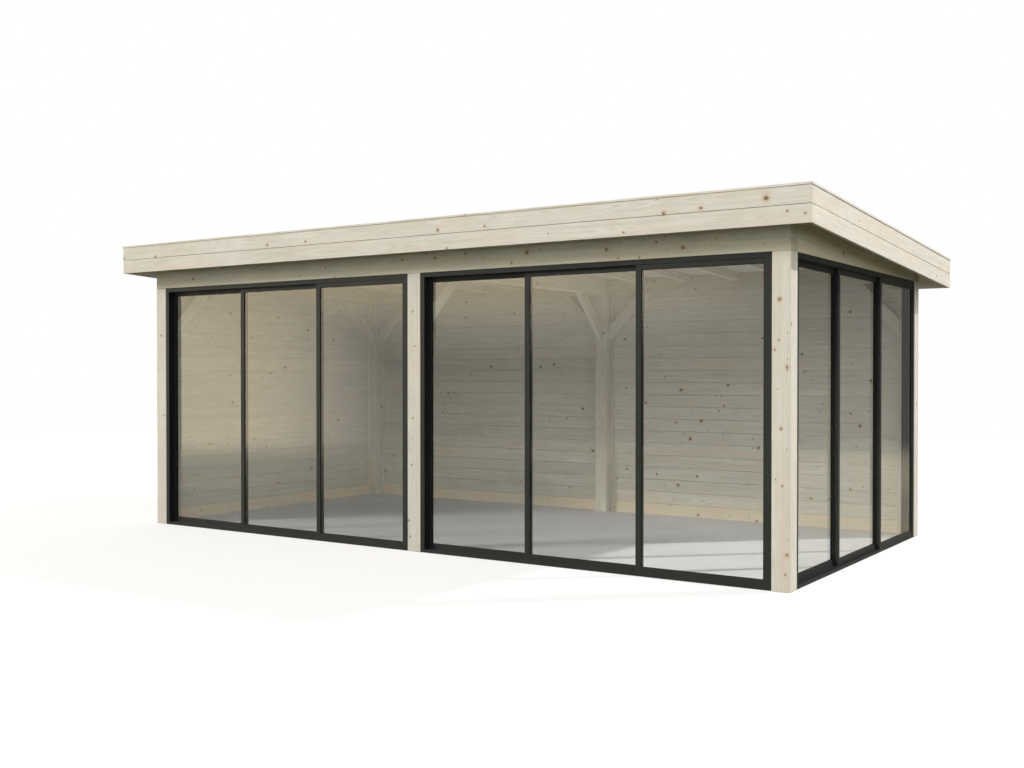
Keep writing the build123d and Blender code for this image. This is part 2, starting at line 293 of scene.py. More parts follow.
    height = addNode(tree, "ShaderNodeMath", {"operation": "ADD"}, {0: lateWood, 1: fibre})
    bump = addNode(tree, "ShaderNodeBump", links={"Height": height, **spruce["relief"]})
    roughness = addNode(tree, "ShaderNodeMapRange", links={"Value": streak, **noiseRange, **spruce["roughness"]})
    shader = addNode(tree, "ShaderNodeBsdfPrincipled", links={
        "Base Color": colour, "Roughness": roughness, "Normal": bump, "Specular IOR Level": spruce["sheen"]})
    addNode(tree, "ShaderNodeOutputMaterial", links={"Surface": shader})
    return material


# Aluminium extrusion, powder coated anthracite: near black with a cool green cast,
# fine matte with a slight orange peel and a little dust in clouds.
powder = {
    "colour": "#2C3132",
    "dusty": "#34383A",
    "peel": {"Scale": 1 / (2.0 * mm), "Detail": 1.0},  # the real peel is 0.6 mm, too fine to show
    "relief": {"Strength": 0.2, "Distance": 0.1 * mm},
    "cloud": {"Scale": 1 / (200 * mm), "Detail": 4.0},
    "dust": {"From Min": 0.45, "From Max": 0.7, "To Max": 0.5},
    "roughness": {"To Min": 0.48, "To Max": 0.6},
    "sheen": 0.18,
}


def makePowder():
    material, tree = newMaterial("powder coated aluminium")
    place = addNode(tree, "ShaderNodeTexCoord").outputs["Object"]
    peel = addNode(tree, "ShaderNodeTexNoise", links={"Vector": place, **powder["peel"]})
    dust = addNode(tree, "ShaderNodeTexNoise", links={"Vector": place, **powder["cloud"]})
    amount = addNode(tree, "ShaderNodeMapRange", links={"Value": dust, **powder["dust"]})
    colour = addNode(tree, "ShaderNodeMix", colourMix, {
        0: amount, 6: linear(powder["colour"]), 7: linear(powder["dusty"])})
    roughness = addNode(tree, "ShaderNodeMapRange", links={"Value": dust, **noiseRange, **powder["roughness"]})
    bump = addNode(tree, "ShaderNodeBump", links={"Height": peel, **powder["relief"]})
    shader = addNode(tree, "ShaderNodeBsdfPrincipled", links={
        "Base Color": colour, "Roughness": roughness, "Normal": bump, "Specular IOR Level": powder["sheen"]})
    addNode(tree, "ShaderNodeOutputMaterial", links={"Surface": shader})
    return material


# Float glass, toughened: clear with the faintest warm grey, and a sharp thin
# reflection that grows towards grazing angles.
glass = {"tint": "#FDFEFC", "paneIor": 1.75}  # one surface stands for both faces of the pane


def makeGlass():
    material, tree = newMaterial("toughened float glass")
    back = addNode(tree, "ShaderNodeNewGeometry").outputs["Backfacing"]
    front = addNode(tree, "ShaderNodeMath", {"operation": "SUBTRACT"}, {0: 1.0, 1: back})
    mirror = addNode(tree, "ShaderNodeFresnel", links={"IOR": glass["paneIor"]})
    mirror = addNode(tree, "ShaderNodeMath", {"operation": "MULTIPLY"}, {0: mirror, 1: front})
    clear = addNode(tree, "ShaderNodeBsdfTransparent", links={"Color": linear(glass["tint"])})
    gloss = addNode(tree, "ShaderNodeBsdfGlossy", links={"Roughness": 0.0, "Color": (1, 1, 1, 1)})
    shader = addNode(tree, "ShaderNodeMixShader", links={0: mirror, 1: clear, 2: gloss})
    addNode(tree, "ShaderNodeOutputMaterial", links={"Surface": shader})
    return material


# EPDM rubber, extruded: soft black, dull, with a very fine grit.
rubber = {
    "colour": "#141515",
    "grey": "#202222",
    "grit": {"Scale": 1 / (3.0 * mm), "Detail": 2.0},  # the real grit is under 0.5 mm, too fine to show
    "roughness": {"To Min": 0.68, "To Max": 0.8},
    "sheen": 0.3,
}


def makeRubber():
    material, tree = newMaterial("extruded EPDM rubber")
    place = addNode(tree, "ShaderNodeTexCoord").outputs["Object"]
    grit = addNode(tree, "ShaderNodeTexNoise", links={"Vector": place, **rubber["grit"]})
    colour = addNode(tree, "ShaderNodeMix", colourMix, {
        0: grit, 6: linear(rubber["colour"]), 7: linear(rubber["grey"])})
    roughness = addNode(tree, "ShaderNodeMapRange", links={"Value": grit, **noiseRange, **rubber["roughness"]})
    shader = addNode(tree, "ShaderNodeBsdfPrincipled", links={
        "Base Color": colour, "Roughness": roughness, "Specular IOR Level": rubber["sheen"]})
    addNode(tree, "ShaderNodeOutputMaterial", links={"Surface": shader})
    return material


# Roofing membrane, calendered rubber: charcoal, dull, dusty in soft clouds, fine grain.
membrane = {
    "name": "calendered roofing membrane",
    "colour": "#2B2C2E",
    "cloudy": "#3B3B3A",
    "speck": "#4C4B48",
    "cloud": {"Scale": 1 / (600 * mm), "Detail": 5.0, "Roughness": 0.65},
    "clouds": {"From Min": 0.4, "From Max": 0.7},
    "grain": {"Scale": 1 / (4.0 * mm), "Detail": 2.0},  # the real grain is about 1 mm, too fine to show
    "specks": {"From Min": 0.45, "From Max": 0.7, "To Max": 0.35},
    "relief": {"Strength": 0.5, "Distance": 0.4 * mm},
    "roughness": {"To Min": 0.72, "To Max": 0.85},
    "sheen": 0.3,
}

# Vinyl flooring, calendered: pale cool grey, faint marbled clouds and fine specks, satin.
vinyl = {
    "name": "calendered vinyl flooring",
    "colour": "#E6E8F6",
    "cloudy": "#DADCEB",
    "speck": "#C3C5D2",
    "cloud": {"Scale": 1 / (900 * mm), "Detail": 6.0, "Roughness": 0.6, "Distortion": 0.6},
    "clouds": {"From Min": 0.35, "From Max": 0.7},
    "grain": {"Scale": 1 / (6.0 * mm), "Detail": 3.0},
    "specks": {"From Min": 0.5, "From Max": 0.75, "To Max": 0.35},
    "relief": {"Strength": 0.25, "Distance": 0.2 * mm},
    "roughness": {"To Min": 0.45, "To Max": 0.57},
    "sheen": 0.3,
}


def makeSheet(look):
    # Clouds show in the colour and the sheen, specks in the colour and the relief
    material, tree = newMaterial(look["name"])
    place = addNode(tree, "ShaderNodeTexCoord").outputs["Object"]
    cloud = addNode(tree, "ShaderNodeTexNoise", links={"Vector": place, **look["cloud"]})
    grain = addNode(tree, "ShaderNodeTexNoise", links={"Vector": place, **look["grain"]})
    amount = addNode(tree, "ShaderNodeMapRange", links={"Value": cloud, **look["clouds"]})
    colour = addNode(tree, "ShaderNodeMix", colourMix, {
        0: amount, 6: linear(look["colour"]), 7: linear(look["cloudy"])})
    amount = addNode(tree, "ShaderNodeMapRange", links={"Value": grain, **look["specks"]})
    colour = addNode(tree, "ShaderNodeMix", colourMix, {0: amount, 6: colour, 7: linear(look["speck"])})
    roughness = addNode(tree, "ShaderNodeMapRange", links={"Value": cloud, **noiseRange, **look["roughness"]})
    bump = addNode(tree, "ShaderNodeBump", links={"Height": grain, **look["relief"]})
    shader = addNode(tree, "ShaderNodeBsdfPrincipled", links={
        "Base Color": colour, "Roughness": roughness, "Normal": bump, "Specular IOR Level": look["sheen"]})
    addNode(tree, "ShaderNodeOutputMaterial", links={"Surface": shader})
    return material


# Stainless steel, cold headed: light grey metal, softly worn.
steel = {
    "bright": "#B4B5B4",
    "dull": "#8F908F",
    "wear": {"Scale": 1 / (2.0 * mm), "Detail": 2.0},
    "roughness": {"To Min": 0.29, "To Max": 0.45},
}


def makeSteel():
    material, tree = newMaterial("cold headed stainless steel")
    place = addNode(tree, "ShaderNodeTexCoord").outputs["Object"]
    wear = addNode(tree, "ShaderNodeTexNoise", links={"Vector": place, **steel["wear"]})
    colour = addNode(tree, "ShaderNodeMix", colourMix, {
        0: wear, 6: linear(steel["bright"]), 7: linear(steel["dull"])})
    roughness = addNode(tree, "ShaderNodeMapRange", links={"Value": wear, **noiseRange, **steel["roughness"]})
    shader = addNode(tree, "ShaderNodeBsdfPrincipled", links={
        "Base Color": colour, "Metallic": 1.0, "Roughness": roughness})
    addNode(tree, "ShaderNodeOutputMaterial", links={"Surface": shader})
    return material


postSpruce, beamSpruce = makeSpruce(postWood), makeSpruce(beamWood)
fasciaSpruce, boardSpruce = makeSpruce(fasciaWood), makeSpruce(boardWood)
powderCoat, floatGlass, rubberBlack = makePowder(), makeGlass(), makeRubber()
membraneBlack, vinylGrey, steelGrey = makeSheet(membrane), makeSheet(vinyl), makeSteel()
print("materials made")


def addPiece(name, mesh, material, body="root", standsFor=None):
    piece = bpy.data.objects.new(name, mesh)
    bpy.context.scene.collection.objects.link(piece)
    paint(piece, material)
    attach(piece, body)
    if standsFor:
        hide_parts(standsFor)
    return piece


def finishMesh(name, work, mesh=None):
    # Turns the faces outward and writes a new mesh, or back into the one that is given
    bmesh.ops.recalc_face_normals(work, faces=work.faces)
    mesh = mesh or bpy.data.meshes.new(name)
    work.to_mesh(mesh)
    work.free()
    return mesh


def loft(name, rings, closed=False):
    # Skins rings of equal length, and caps the ends unless the rings close on themselves
    work = bmesh.new()
    rings = [[work.verts.new(point) for point in ring] for ring in rings]
    if not closed:
        work.faces.new(rings[0])
        work.faces.new(rings[-1])
    for here, there in zip(rings, rings[1:] + (rings[:1] if closed else [])):
        for i in range(len(here)):
            k = (i + 1) % len(here)
            work.faces.new([here[i], here[k], there[k], there[i]])
    return finishMesh(name, work)


def solidsOf(work):
    # Groups of joined faces, each one solid of a piece
    seen, groups = set(), []
    for face in work.faces:
        if face.index in seen:
            continue
        group, stack = [], [face]
        seen.add(face.index)
        while stack:
            here = stack.pop()
            group.append(here)
            for other in (face for edge in here.edges for face in edge.link_faces):
                if other.index not in seen:
                    seen.add(other.index)
                    stack.append(other)
        groups.append(group)
    return groups


# Where a solid is cut from the wood: a random start, and steps from side to side
sawing = {"start": 40, "perSide": 1.7, "farSide": 0.8}


def layGrain(mesh, seed, toneOf=None):
    # Every solid gets its own grain: along its longest edge, from its middle, other on each side
    work = bmesh.new()
    work.from_mesh(mesh)
    work.faces.ensure_lookup_table()
    grain = work.loops.layers.float_vector.new("grain")
    tone = work.faces.layers.float.new("boardTone")
    end = work.faces.layers.float.new("endGrain")
    dice = random.Random(seed)
    for group in solidsOf(work):
        longest = max((edge for face in group for edge in face.edges), key=lambda edge: edge.calc_length())
        axis = (longest.verts[1].co - longest.verts[0].co).normalized()
        points = [vert.co for face in group for vert in face.verts]
        middle = Vector([(min(p[i] for p in points) + max(p[i] for p in points)) / 2 for i in range(3)])
        start, shade = dice.uniform(0, sawing["start"]), dice.uniform(-1, 1)
        if toneOf:
            shade = toneOf(middle, shade)
        for face in group:
            isEnd = face.normal.cross(axis).length < 0.5
            lengthwise = face.normal.orthogonal().normalized() if isEnd else axis
            crosswise = face.normal.cross(lengthwise).normalized()
            side = max(range(3), key=lambda i: abs(face.normal[i]))
            slot = start + sawing["perSide"] * side + (sawing["farSide"] if face.normal[side] > 0 else 0.0)
            face[tone] = shade
            face[end] = 1.0 if isEnd else 0.0
            for loop in face.loops:
                away = loop.vert.co - middle
                loop[grain] = (away.dot(lengthwise), away.dot(crosswise), slot)
    work.to_mesh(mesh)
    work.free()


# Corners closer than merge are one, faces within flat degrees of each other are one,
# and edges over sharp degrees are eased
easing = {"merge": 0.01 * mm, "flat": 0.5, "sharp": 25, "segments": 2}


def dressedCopy(node, material, easedEdge, seed=None, body="root"):
    # A copy of a CAD node with joined faces and eased edges, which stands for it
    mesh = nodes[node].data.copy()
    mesh.name = node + "_dressed"
    if "custom_normal" in mesh.attributes:
        mesh.attributes.remove(mesh.attributes["custom_normal"])
    work = bmesh.new()
    work.from_mesh(mesh)
    bmesh.ops.remove_doubles(work, verts=work.verts, dist=easing["merge"])
    bmesh.ops.dissolve_limit(work, angle_limit=math.radians(easing["flat"]), verts=work.verts, edges=work.edges)
    sharp = [edge for edge in work.edges
             if len(edge.link_faces) == 2 and edge.calc_face_angle() > math.radians(easing["sharp"])]
    bmesh.ops.bevel(work, geom=sharp, offset=easedEdge, segments=easing["segments"], profile=0.5,
                    affect="EDGES", clamp_overlap=True)
    for face in work.faces:
        face.smooth = False
    work.to_mesh(mesh)
    work.free()
    if seed is not None:
        layGrain(mesh, seed)
    return addPiece(node + "_dressed", mesh, material, body, node)


timber = {"beamEdge": 3.0 * mm, "boardEdge": 1.5 * mm, "membraneEdge": 0.5 * mm, "floorEdge": 1.0 * mm}
posts = [row + "_" + column + "_post" for row in ("front", "rear") for column in ("left", "middle", "right")]
beams = ["front_beam", "rear_beam", "left_beam", "right_beam"]
smallTimbers = ["middle_beam", "knee_braces", "rafters"]
edgings = ["front_fascia", "rear_fascia", "left_fascia", "right_fascia", "roof_cap"]
# Each group with its wood, its slot, its eased edge and the first of its seeds
timbers = [
    (posts, postSpruce, "post_timber", timber["beamEdge"], 100),
    (beams, beamSpruce, "beam_timber", timber["beamEdge"], 200),
    (smallTimbers, postSpruce, "beam_timber", timber["beamEdge"], 250),
    (edgings, fasciaSpruce, "fascia_timber", timber["boardEdge"], 300),
]
for group, wood, slotName, easedEdge, seed in timbers:
    for i, node in enumerate(group):
        dressedCopy(node, wood, easedEdge, seed + i)
dressedCopy("roof_covering", membraneBlack, timber["membraneEdge"])
dressedCopy("floor", vinylGrey, timber["floorEdge"])
print("timber frame dressed")

aluminium = {"easedEdge": 0.8 * mm}
doors = ["left_door", "right_door", "side_door"]
leaves = ["1", "2", "3"]  # in each door
for door in doors:
    dressedCopy(door + "_frame", powderCoat, aluminium["easedEdge"])
    for leaf in leaves:
        dressedCopy(door + "_panel_" + leaf, powderCoat, aluminium["easedEdge"],
                    body=door + "_leaf_" + leaf)
        paint(nodes[door + "_glass_" + leaf], floatGlass)
print("doors dressed")


def newTree(name, inputs):
    # Node group with the named inputs after its geometry
    tree = bpy.data.node_groups.new(name, "GeometryNodeTree")
    tree.interface.new_socket("Geometry", in_out="INPUT", socket_type="NodeSocketGeometry")
    for label, kind in inputs.items():
        tree.interface.new_socket(label, in_out="INPUT", socket_type="NodeSocket" + kind)
    tree.interface.new_socket("Geometry", in_out="OUTPUT", socket_type="NodeSocketGeometry")
    return tree, addNode(tree, "NodeGroupInput").outputs


def closeTree(tree, geometry, material):
    real = addNode(tree, "GeometryNodeRealizeInstances", links={0: geometry})
    coat = addNode(tree, "GeometryNodeSetMaterial", links={"Geometry": real, "Material": material})
    addNode(tree, "NodeGroupOutput", links={0: coat})
    return tree


def grow(name, mesh, tree, values):
    # Runs a tree on a mesh and returns the result as a plain mesh
    maker = bpy.data.objects.new(name + "_maker", mesh)
    bpy.context.scene.collection.objects.link(maker)
    modifier = maker.modifiers.new("grow", "NODES")
    modifier.node_group = tree
    for item in tree.interface.items_tree:
        if item.item_type == "SOCKET" and item.in_out == "INPUT" and item.name in values:
            modifier[item.identifier] = values[item.name]
    bpy.context.view_layer.update()
    made = bpy.data.meshes.new_from_object(maker.evaluated_get(bpy.context.evaluated_depsgraph_get()))
    bpy.data.objects.remove(maker)
    made.name = name
    work = bmesh.new()
    work.from_mesh(made)
    return finishMesh(name, work, made)


def makeRowTree():
    # Repeats one shape in a straight row
    tree, given = newTree("row", {"Count": "Int", "Step": "Vector", "Start": "Vector", "Material": "Material"})
    line = addNode(tree, "GeometryNodeMeshLine", {"mode": "OFFSET"},
                   {"Count": given["Count"], "Start Location": given["Start"], "Offset": given["Step"]})
    row = addNode(tree, "GeometryNodeInstanceOnPoints", links={"Points": line, "Instance": given["Geometry"]})
    return closeTree(tree, row, given["Material"])


rowTree = makeRowTree()
board = {
    "cover": 113.2 * mm,       # face width of a board
    "firstJoint": 118.0 * mm,  # height of the lowest joint in a wall
    "joint": 1.4 * mm,
    "chamfer": 1.6 * mm,
    "jointDepth": 9.0 * mm,
    "deepest": 0.4,            # of the thickness, in a thin board
    "roofStart": -40.0 * mm,   # the first roof board is ripped narrower
    "roofSeed": 420,
}


def boardMesh(name, length, thickness):
    # One board along X, Y through its thickness, Z across its face, with a shallow joint on both faces
    joint, chamfer, cover = board["joint"] / 2, board["chamfer"], board["cover"]
    depth = min(board["jointDepth"], thickness * board["deepest"])
    corner = [(0, joint + chamfer), (chamfer, joint), (depth, joint), (depth, 0)]
    outline = corner + [(thickness - y, z) for y, z in reversed(corner)]
    outline += [(thickness - y, cover - z) for y, z in corner] + [(y, cover - z) for y, z in reversed(corner)]
    return loft(name, [[(x, y, z) for y, z in outline] for x in (0, length)])


def trim(mesh, point, normal):
    # Cuts away what lies beyond a plane and closes the cut
    work = bmesh.new()
    work.from_mesh(mesh)
    cut = bmesh.ops.bisect_plane(work, geom=list(work.verts) + list(work.edges) + list(work.faces),
                                 plane_co=point, plane_no=normal, clear_outer=True)
    edges = [item for item in cut["geom_cut"] if isinstance(item, bmesh.types.BMEdge)]
    if edges:
        bmesh.ops.edgenet_fill(work, edges=edges)
    finishMesh(mesh.name, work, mesh)


def wallTone(middle, shade):
    # The lowest board is warmer and brighter than the rest
    return 2.0 if middle.z < board["firstJoint"] - board["cover"] / 2 + 1 * mm else shade


def layOf(low, high):
    # Whether an upright piece runs along X, its length and its thickness
    size = high - low
    return (True, size.x, size.y) if size.x > size.y else (False, size.y, size.x)


# The seeds of each wall
walls = {
    "rear_left_wall": {"boards": 411, "battens": 444},
    "rear_right_wall": {"boards": 412, "battens": 445},
    "left_wall": {"boards": 413, "battens": 439},
}
for node, seeds in walls.items():
    low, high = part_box(node)
    alongX, length, thickness = layOf(low, high)
    mesh = boardMesh(node + "_board", length, thickness)
    if not alongX:
        mesh.transform(Matrix.Translation((thickness, 0, 0)) @ Matrix.Rotation(math.radians(90), 4, "Z"))
    first = board["firstJoint"] - board["cover"]
    mesh = grow(node + "_boards", mesh, rowTree, {
        "Count": math.ceil((high.z - first) / board["cover"]), "Step": (0, 0, board["cover"]),
        "Start": (low.x, low.y, first), "Material": boardSpruce})
    trim(mesh, (0, 0, high.z), (0, 0, 1))
    layGrain(mesh, seeds["boards"], wallTone)
    addPiece(node + "_boards", mesh, boardSpruce, standsFor=node)
print("walls boarded")

# Battens cover the ends of the boards beside the posts, inside the room
batten = {"width": 36 * mm, "thickness": 18 * mm, "edge": 2 * mm}
w, t, e = batten.values()
section = [(0, 0), (w, 0), (w, t - e), (w - e, t), (e, t), (0, t - e)]
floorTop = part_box("floor")[1].z
for node, seeds in walls.items():
    low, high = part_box(node)
    alongX = layOf(low, high)[0]
    work = bmesh.new()
    for start, step in ((low, 1), (high, -1)):
        rings = [[(start.x + step * a, low.y - b, z) if alongX else (high.x + b, start.y + step * a, z)
                  for a, b in section] for z in (floorTop, high.z)]
        work.from_mesh(loft("batten", rings))
    mesh = finishMesh(node + "_battens", work)
    layGrain(mesh, seeds["battens"])
    addPiece(mesh.name, mesh, boardSpruce)
print("battens fitted")


def roofEdges(node):
    # Heights of the lower and the upper face of a roof layer along its front edge, and its slope
    points = [vert.co for vert in nodes[node].data.vertices]
    frontY, rearY = min(p.y for p in points), max(p.y for p in points)
    atFront = [p.z for p in points if p.y < frontY + 0.1 * mm]
    atRear = [p.z for p in points if p.y > rearY - 0.1 * mm]
    return frontY, min(atFront), max(atFront), (min(atFront) - min(atRear)) / (rearY - frontY)


low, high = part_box("roof_boards")
frontY, under, over, fall = roofEdges("roof_boards")
slope = math.atan(fall)
downhill = Vector((0, math.cos(slope), -math.sin(slope)))
upward = Vector((0, math.sin(slope), math.cos(slope)))
# Laid flat on the slope: the thickness turns up, the cover width runs downhill
flat = Matrix(((1, 0, 0), (0, upward.y, downhill.y), (0, upward.z, downhill.z))).to_4x4()
mesh = boardMesh("roof_board", high.x - low.x, (over - under) * math.cos(slope))
mesh.transform(flat)
mesh = grow("roof_boards_laid", mesh, rowTree, {
    "Count": math.ceil((high.y - low.y) / math.cos(slope) / board["cover"]) + 1,
    "Step": tuple(downhill * board["cover"]),
    "Start": tuple(Vector((low.x, frontY, under)) + downhill * board["roofStart"]), "Material": boardSpruce})
trim(mesh, (0, high.y, 0), (0, 1, 0))
trim(mesh, (0, low.y, 0), (0, -1, 0))
layGrain(mesh, board["roofSeed"])
addPiece("roof_boards_laid", mesh, boardSpruce, standsFor="roof_boards")
print("roof boarded")

# Each sheet of the membrane laps over the next one downhill
laps = {"first": 620 * mm, "sheet": 1000 * mm, "count": 3, "width": 60 * mm, "rise": 1.2 * mm, "bite": 1.0 * mm}
low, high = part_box("roof_covering")
coverY, _, coverTop, fall = roofEdges("roof_covering")
rise, width, bite = laps["rise"], laps["width"], laps["bite"]
section = [(-bite, 0), (rise * 0.3, 0), (rise, 4 * mm),
           (rise, width - 2 * mm), (rise * 0.4, width), (-bite, width)]
mesh = loft("lap", [[(x, y, z) for y, z in section] for x in (low.x, high.x)])
mesh.transform(flat)
mesh = grow("membrane_laps", mesh, rowTree, {
    "Count": laps["count"], "Step": tuple(downhill * laps["sheet"]),
    "Start": tuple(Vector((0, coverY, coverTop)) + downhill * laps["first"]), "Material": membraneBlack})
addPiece("membrane_laps", mesh, membraneBlack)

# The membrane turns up the inside of the fascia, under the cap
upstand = {"thickness": 2.0 * mm, "foot": 45 * mm, "fillet": 14 * mm}
capY, capUnder, capTop, fall = roofEdges("roof_cap")
rise = capUnder - (coverY - capY) * fall - coverTop
t, foot, fillet = upstand["thickness"], upstand["foot"], upstand["fillet"]
section = [(0, rise), (0, 0), (foot, 0), (foot, t * 0.5), (fillet + t, t), (t * 1.6, t + fillet * 0.7), (t, rise)]
rings = []
for x, y in ((low.x, low.y), (high.x, low.y), (high.x, high.y), (low.x, high.y)):
    inX, inY = (1 if x < 0 else -1), (1 if y < 0 else -1)
    rings.append([(x + inX * a, y + inY * a, coverTop - (y + inY * a - coverY) * fall + b) for a, b in section])
addPiece("membrane_upstand", loft("membrane_upstand", rings, closed=True), membraneBlack)

# Screws in a row along the middle of each side of the cap
screws = {
    "radius": 4.5 * mm, "height": 0.7 * mm, "sides": 12,
    "profile": [(1.0, -1.0), (1.0, 0.0), (0.82, 1.0), (0.42, 1.0), (0.36, -0.6)],  # in radii and heights
    "pitch": 480 * mm, "inset": 25 * mm,
}
capLow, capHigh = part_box("roof_cap")
left, right = capLow.x + screws["inset"], capHigh.x - screws["inset"]
front, rear = capLow.y + screws["inset"], capHigh.y - screws["inset"]
corners = [(left, front), (right, front), (right, rear), (left, rear)]
turns = [2 * math.pi * i / screws["sides"] for i in range(screws["sides"])]
work = bmesh.new()
for here, there in zip(corners, corners[1:] + corners[:1]):
    run = Vector((there[0] - here[0], there[1] - here[1]))
    count = round(run.length / screws["pitch"])
    rings = []
    for size, lift in screws["profile"]:
        radius = screws["radius"] * size
        rings.append([(radius * math.cos(turn), radius * math.sin(turn),
                       screws["height"] * lift - radius * math.sin(turn) * fall) for turn in turns])
    y = here[1] + run.y / count / 2
    start = (here[0] + run.x / count / 2, y, capTop - (y - capY) * fall)
    row = grow("cap_screws", loft("screw", rings), rowTree, {
        "Count": count, "Step": (run.x / count, run.y / count, -run.y / count * fall),
        "Start": start, "Material": steelGrey})
    work.from_mesh(row)
addPiece("cap_screws", finishMesh("cap_screws", work), steelGrey)
print("roof finished")


def makeGasketTree():
    # A round bead along the edge of a pane, on both of its faces
    tree, given = newTree("glazing gasket", {
        "Width": "Float", "Height": "Float", "Bead": "Float", "Sides": "Int", "Apart": "Float",
        "Turn": "Vector", "Place": "Vector", "Material": "Material"})
    path = addNode(tree, "GeometryNodeCurvePrimitiveQuadrilateral", links={
        "Width": given["Width"], "Height": given["Height"]})
    section = addNode(tree, "GeometryNodeCurvePrimitiveCircle", {"mode": "RADIUS"}, {
        "Resolution": given["Sides"], "Radius": given["Bead"]})
    bead = addNode(tree, "GeometryNodeCurveToMesh", links={"Curve": path, "Profile Curve": section.outputs[0]})
    both = addNode(tree, "GeometryNodeJoinGeometry")
    for side in (1.0, -1.0):
        out = addNode(tree, "ShaderNodeMath", {"operation": "MULTIPLY"}, {0: given["Apart"], 1: side})
        out = addNode(tree, "ShaderNodeCombineXYZ", links={2: out})
        moved = addNode(tree, "GeometryNodeTransform", links={"Geometry": bead, "Translation": out})
        tree.links.new(moved.outputs[0], both.inputs[0])
    placed = addNode(tree, "GeometryNodeTransform", links={
        "Geometry": both, "Translation": given["Place"], "Rotation": given["Turn"]})
    return closeTree(tree, placed, given["Material"])


gasketTree = makeGasketTree()
gasket = {
    "bead": 1.7 * mm,   # its radius
    "sides": 8,
    "bite": 10.0 * mm,  # how deep the pane sits in the profile
    "inwards": 0.8,     # the middle of the bead stands this far into the clear opening, in radii
    "outwards": 0.7,    # and this far off the face of the pane
}
for door, leaf in [(door, leaf) for door in doors for leaf in leaves]:
    low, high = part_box(door + "_glass_" + leaf)
    alongX, width, thickness = layOf(low, high)
    inset = 2 * (gasket["bite"] + gasket["inwards"] * gasket["bead"])
    name = door + "_gasket_" + leaf
    mesh = grow(name, bpy.data.meshes.new(name + "_seed"), gasketTree, {
        "Width": width - inset, "Height": (high - low).z - inset,
        "Bead": gasket["bead"], "Sides": gasket["sides"],
        "Apart": thickness / 2 + gasket["bead"] * gasket["outwards"], "Place": tuple((low + high) / 2),
        "Turn": (math.radians(90), 0, 0 if alongX else math.radians(90)), "Material": rubberBlack})
    addPiece(name, mesh, rubberBlack, door + "_leaf_" + leaf)
print("gaskets fitted")

# The shown floor is white where it is lit and keeps the shadow. What the timber
# gets back from it is a dull green, as from a lawn.
stage = {
    "size": 34.0,
    "shown": "#B6B6B6",
    "lift": 0.6,
    "bounce": "#41422E",
    "mirrored": "#5C5C58",           # how the glass mirrors it, darkest round one place in front
    "mirroredFar": "#BCB6A6",
    "darkest": (-0.5, -7.5, 0.0),
    "dark": {"From Min": 2.0, "From Max": 6.0},
    "fade": {"From Min": 9.0, "From Max": 16.5},
}


def shownRays(tree, path):
    # 1 for the rays that show the studio: to the eye, mirrored or through glass
    seen = addNode(tree, "ShaderNodeMath", {"operation": "MAXIMUM"}, {
        0: path["Is Glossy Ray"], 1: path["Is Transmission Ray"]})
    return addNode(tree, "ShaderNodeMath", {"operation": "MAXIMUM"}, {0: path["Is Camera Ray"], 1: seen})


def makeStage():
    material, tree = newMaterial("studio floor")
    path = addNode(tree, "ShaderNodeLightPath").outputs
    place = addNode(tree, "ShaderNodeTexCoord").outputs["Object"]
    away = addNode(tree, "ShaderNodeVectorMath", {"operation": "DISTANCE"}, {0: place, 1: stage["darkest"]})
    away = addNode(tree, "ShaderNodeMapRange", links={"Value": away.outputs["Value"], **stage["dark"]})
    colour = addNode(tree, "ShaderNodeMix", colourMix, {
        0: away, 6: linear(stage["mirrored"]), 7: linear(stage["mirroredFar"])})
    colour = addNode(tree, "ShaderNodeMix", colourMix, {
        0: path["Is Glossy Ray"], 6: linear(stage["shown"]), 7: colour})
    paper = addNode(tree, "ShaderNodeBsdfDiffuse", links={"Color": colour})
    lift = addNode(tree, "ShaderNodeMapRange", links={
        "Value": path["Is Glossy Ray"], "To Min": stage["lift"], "To Max": 0.0})
    glow = addNode(tree, "ShaderNodeEmission", links={"Strength": lift, "Color": (1, 1, 1, 1)})
    bright = addNode(tree, "ShaderNodeAddShader", links={0: paper, 1: glow})
    # In a reflection it fades into the sky, without a hard horizon
    far = addNode(tree, "ShaderNodeVectorMath", {"operation": "LENGTH"}, {0: place}).outputs["Value"]
    far = addNode(tree, "ShaderNodeMapRange", smooth, {"Value": far, **stage["fade"]})
    far = addNode(tree, "ShaderNodeMath", {"operation": "MULTIPLY"}, {0: far, 1: path["Is Glossy Ray"]})
    gone = addNode(tree, "ShaderNodeBsdfTransparent")
    bright = addNode(tree, "ShaderNodeMixShader", links={0: far, 1: bright, 2: gone})
    dull = addNode(tree, "ShaderNodeBsdfDiffuse", links={"Color": linear(stage["bounce"])})
    shader = addNode(tree, "ShaderNodeMixShader", links={0: shownRays(tree, path), 1: dull, 2: bright})
    addNode(tree, "ShaderNodeOutputMaterial", links={"Surface": shader})
    half = stage["size"] / 2
    corners = [(x, y, -1 * mm) for x, y in ((-half, -half), (half, -half), (half, half), (-half, half))]
    mesh = bpy.data.meshes.new("studio_floor")
    mesh.from_pydata(corners, [], [(0, 1, 2, 3)])
    floor = bpy.data.objects.new("studio_floor", mesh)
    bpy.context.scene.collection.objects.link(floor)
    paint(floor, material)


